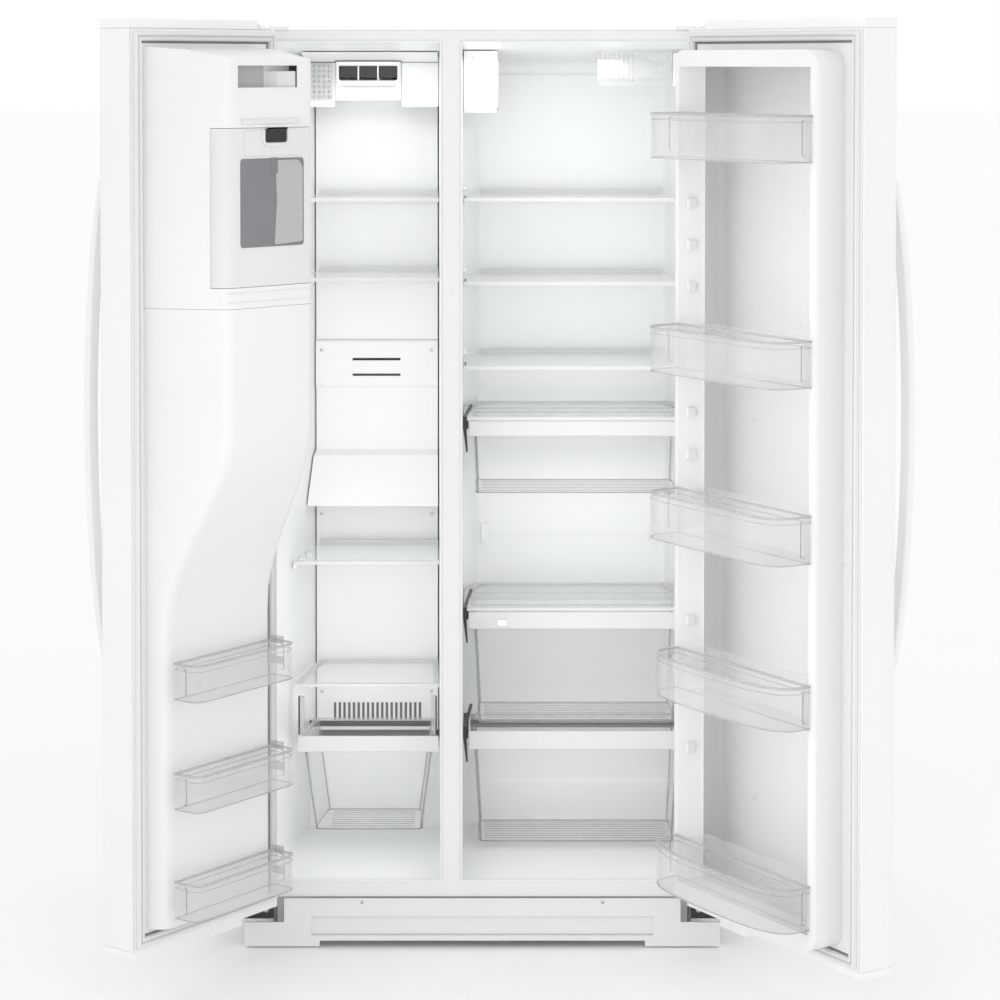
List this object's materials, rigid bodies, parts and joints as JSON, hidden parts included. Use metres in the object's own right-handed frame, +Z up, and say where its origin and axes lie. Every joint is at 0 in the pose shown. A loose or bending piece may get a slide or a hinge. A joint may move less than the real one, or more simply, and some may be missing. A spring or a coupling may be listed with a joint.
{
  "type": "side by side refrigerator",
  "caption": "White side by side refrigerator with both doors open: freezer on the left, fresh food on the right, shelves, drawers, door bins and an ice maker in the freezer door.",
  "frame": {"origin": "on the floor, in the middle of the footprint that the cabinet and its two open doors cover", "axes": "+Z up; the doors open towards -Y; +X to the right as one faces the open refrigerator, the freezer on the -X side"},
  "size_m": [1.4766, 1.0752, 1.765],
  "materials": {
    "white_paint": "gloss",
    "liner_white": "gloss",
    "white_plastic": "satin",
    "grey_plastic": "satin",
    "seal": "matte",
    "clear_plastic": "gloss",
    "shelf_glass": "gloss",
    "black_plastic": "satin",
    "black_steel": "satin",
    "zinc_steel": "satin",
    "aluminium": "satin"
  },
  "bodies": {
    "cabinet": {"outer_case": "white_paint", "top_hinge_left": "white_paint", "top_hinge_right": "white_paint", "freezer_liner": "liner_white", "fresh_food_liner": "liner_white", "fresh_food_liner_top": "liner_white", "fresh_food_liner_left": "liner_white", "fresh_food_liner_right": "liner_white", "base_grille": "white_plastic", "freezer_back_panel": "white_plastic", "control_box": "white_plastic", "light_cover": "clear_plastic", "freezer_shelf_top": "shelf_glass", "freezer_shelf_middle": "shelf_glass", "freezer_shelf_lower": "shelf_glass", "freezer_basket_cover": "shelf_glass", "fresh_food_shelf_top": "shelf_glass", "fresh_food_shelf_middle": "shelf_glass", "fresh_food_shelf_lower": "shelf_glass", "deli_drawer_cover": "shelf_glass", "crisper_cover": "shelf_glass", "bottom_hinge_left": "black_steel", "bottom_hinge_right": "black_steel", "compressor": "black_steel", "back_panel": "zinc_steel", "base_pan": "zinc_steel", "condenser": "aluminium", "evaporator": "aluminium"},
    "freezer_door": {"freezer_door_shell": "white_paint", "freezer_door_liner": "liner_white", "freezer_door_gasket": "seal", "freezer_door_handle": "liner_white", "freezer_door_top_cap": "white_plastic", "freezer_door_bottom_cap": "white_plastic", "ice_housing": "liner_white", "ice_bin": "liner_white", "dispenser_well": "grey_plastic", "freezer_door_bin_1": "clear_plastic", "freezer_door_bin_2": "clear_plastic", "freezer_door_bin_3": "clear_plastic"},
    "fresh_food_door": {"fresh_food_door_shell": "white_paint", "fresh_food_door_liner": "liner_white", "fresh_food_door_gasket": "seal", "fresh_food_door_handle": "liner_white", "fresh_food_door_top_cap": "white_plastic", "fresh_food_door_bottom_cap": "white_plastic", "fresh_food_door_bin_1": "clear_plastic", "fresh_food_door_bin_2": "clear_plastic", "fresh_food_door_bin_3": "clear_plastic", "fresh_food_door_bin_4": "clear_plastic", "fresh_food_door_bin_5": "clear_plastic"},
    "ice_dispenser_paddle": {"dispenser_paddle": "black_plastic"},
    "basket": {"freezer_basket": "clear_plastic"},
    "deli": {"deli_drawer": "clear_plastic"},
    "crisper_upper": {"upper_crisper": "clear_plastic"},
    "crisper_lower": {"lower_crisper": "clear_plastic"},
    "humidity_vent_slide": {"humidity_slider": "white_plastic"},
    "cooling_fan": {"condenser_fan": "black_plastic"},
    "freezer_fan": {"evaporator_fan": "grey_plastic"},
    "rollers": {"roller_axle": "black_plastic"}
  },
  "joints": [
    {"name": "freezer_door_hinge", "type": "hinge", "parent": "cabinet", "child": "freezer_door", "pos_m": [-0.4513, -0.0924, 0.094], "axis": [0, 0, -1], "range_deg": [-126.8, 8]},
    {"name": "fresh_food_door_hinge", "type": "hinge", "parent": "cabinet", "child": "fresh_food_door", "pos_m": [0.4087, -0.0924, 0.094], "axis": [0, 0, 1], "range_deg": [-121.9, 10]},
    {"name": "basket_slide", "type": "slide", "parent": "cabinet", "child": "basket", "axis": [0, -1, 0], "range_m": [0, 0.25]},
    {"name": "deli_drawer_slide", "type": "slide", "parent": "cabinet", "child": "deli", "axis": [0, -1, 0], "range_m": [0, 0.235]},
    {"name": "upper_crisper_slide", "type": "slide", "parent": "cabinet", "child": "crisper_upper", "axis": [0, -1, 0], "range_m": [0, 0.235]},
    {"name": "lower_crisper_slide", "type": "slide", "parent": "cabinet", "child": "crisper_lower", "axis": [0, -1, 0], "range_m": [0, 0.235]},
    {"name": "humidity_slide", "type": "slide", "parent": "crisper_upper", "child": "humidity_vent_slide", "axis": [1, 0, 0], "range_m": [0, 0.036]},
    {"name": "paddle_hinge", "type": "hinge", "parent": "freezer_door", "child": "ice_dispenser_paddle", "pos_m": [-0.52549, -0.26169, 1.2], "axis": [-0.599, -0.8007, 0], "range_deg": [0, 9], "stiffness_Nm_per_rad": 0.15},
    {"name": "cooling_fan_spin", "type": "hinge", "parent": "cabinet", "child": "cooling_fan", "pos_m": [0.0387, 0.4476, 0.19], "axis": [1, 0, 0], "continuous": true},
    {"name": "freezer_fan_spin", "type": "hinge", "parent": "cabinet", "child": "freezer_fan", "pos_m": [-0.2363, 0.4276, 1.18], "axis": [0, 1, 0], "continuous": true},
    {"name": "roller_spin", "type": "hinge", "parent": "cabinet", "child": "rollers", "pos_m": [-0.0213, 0.4876, 0.02], "axis": [1, 0, 0], "continuous": true}
  ]
}
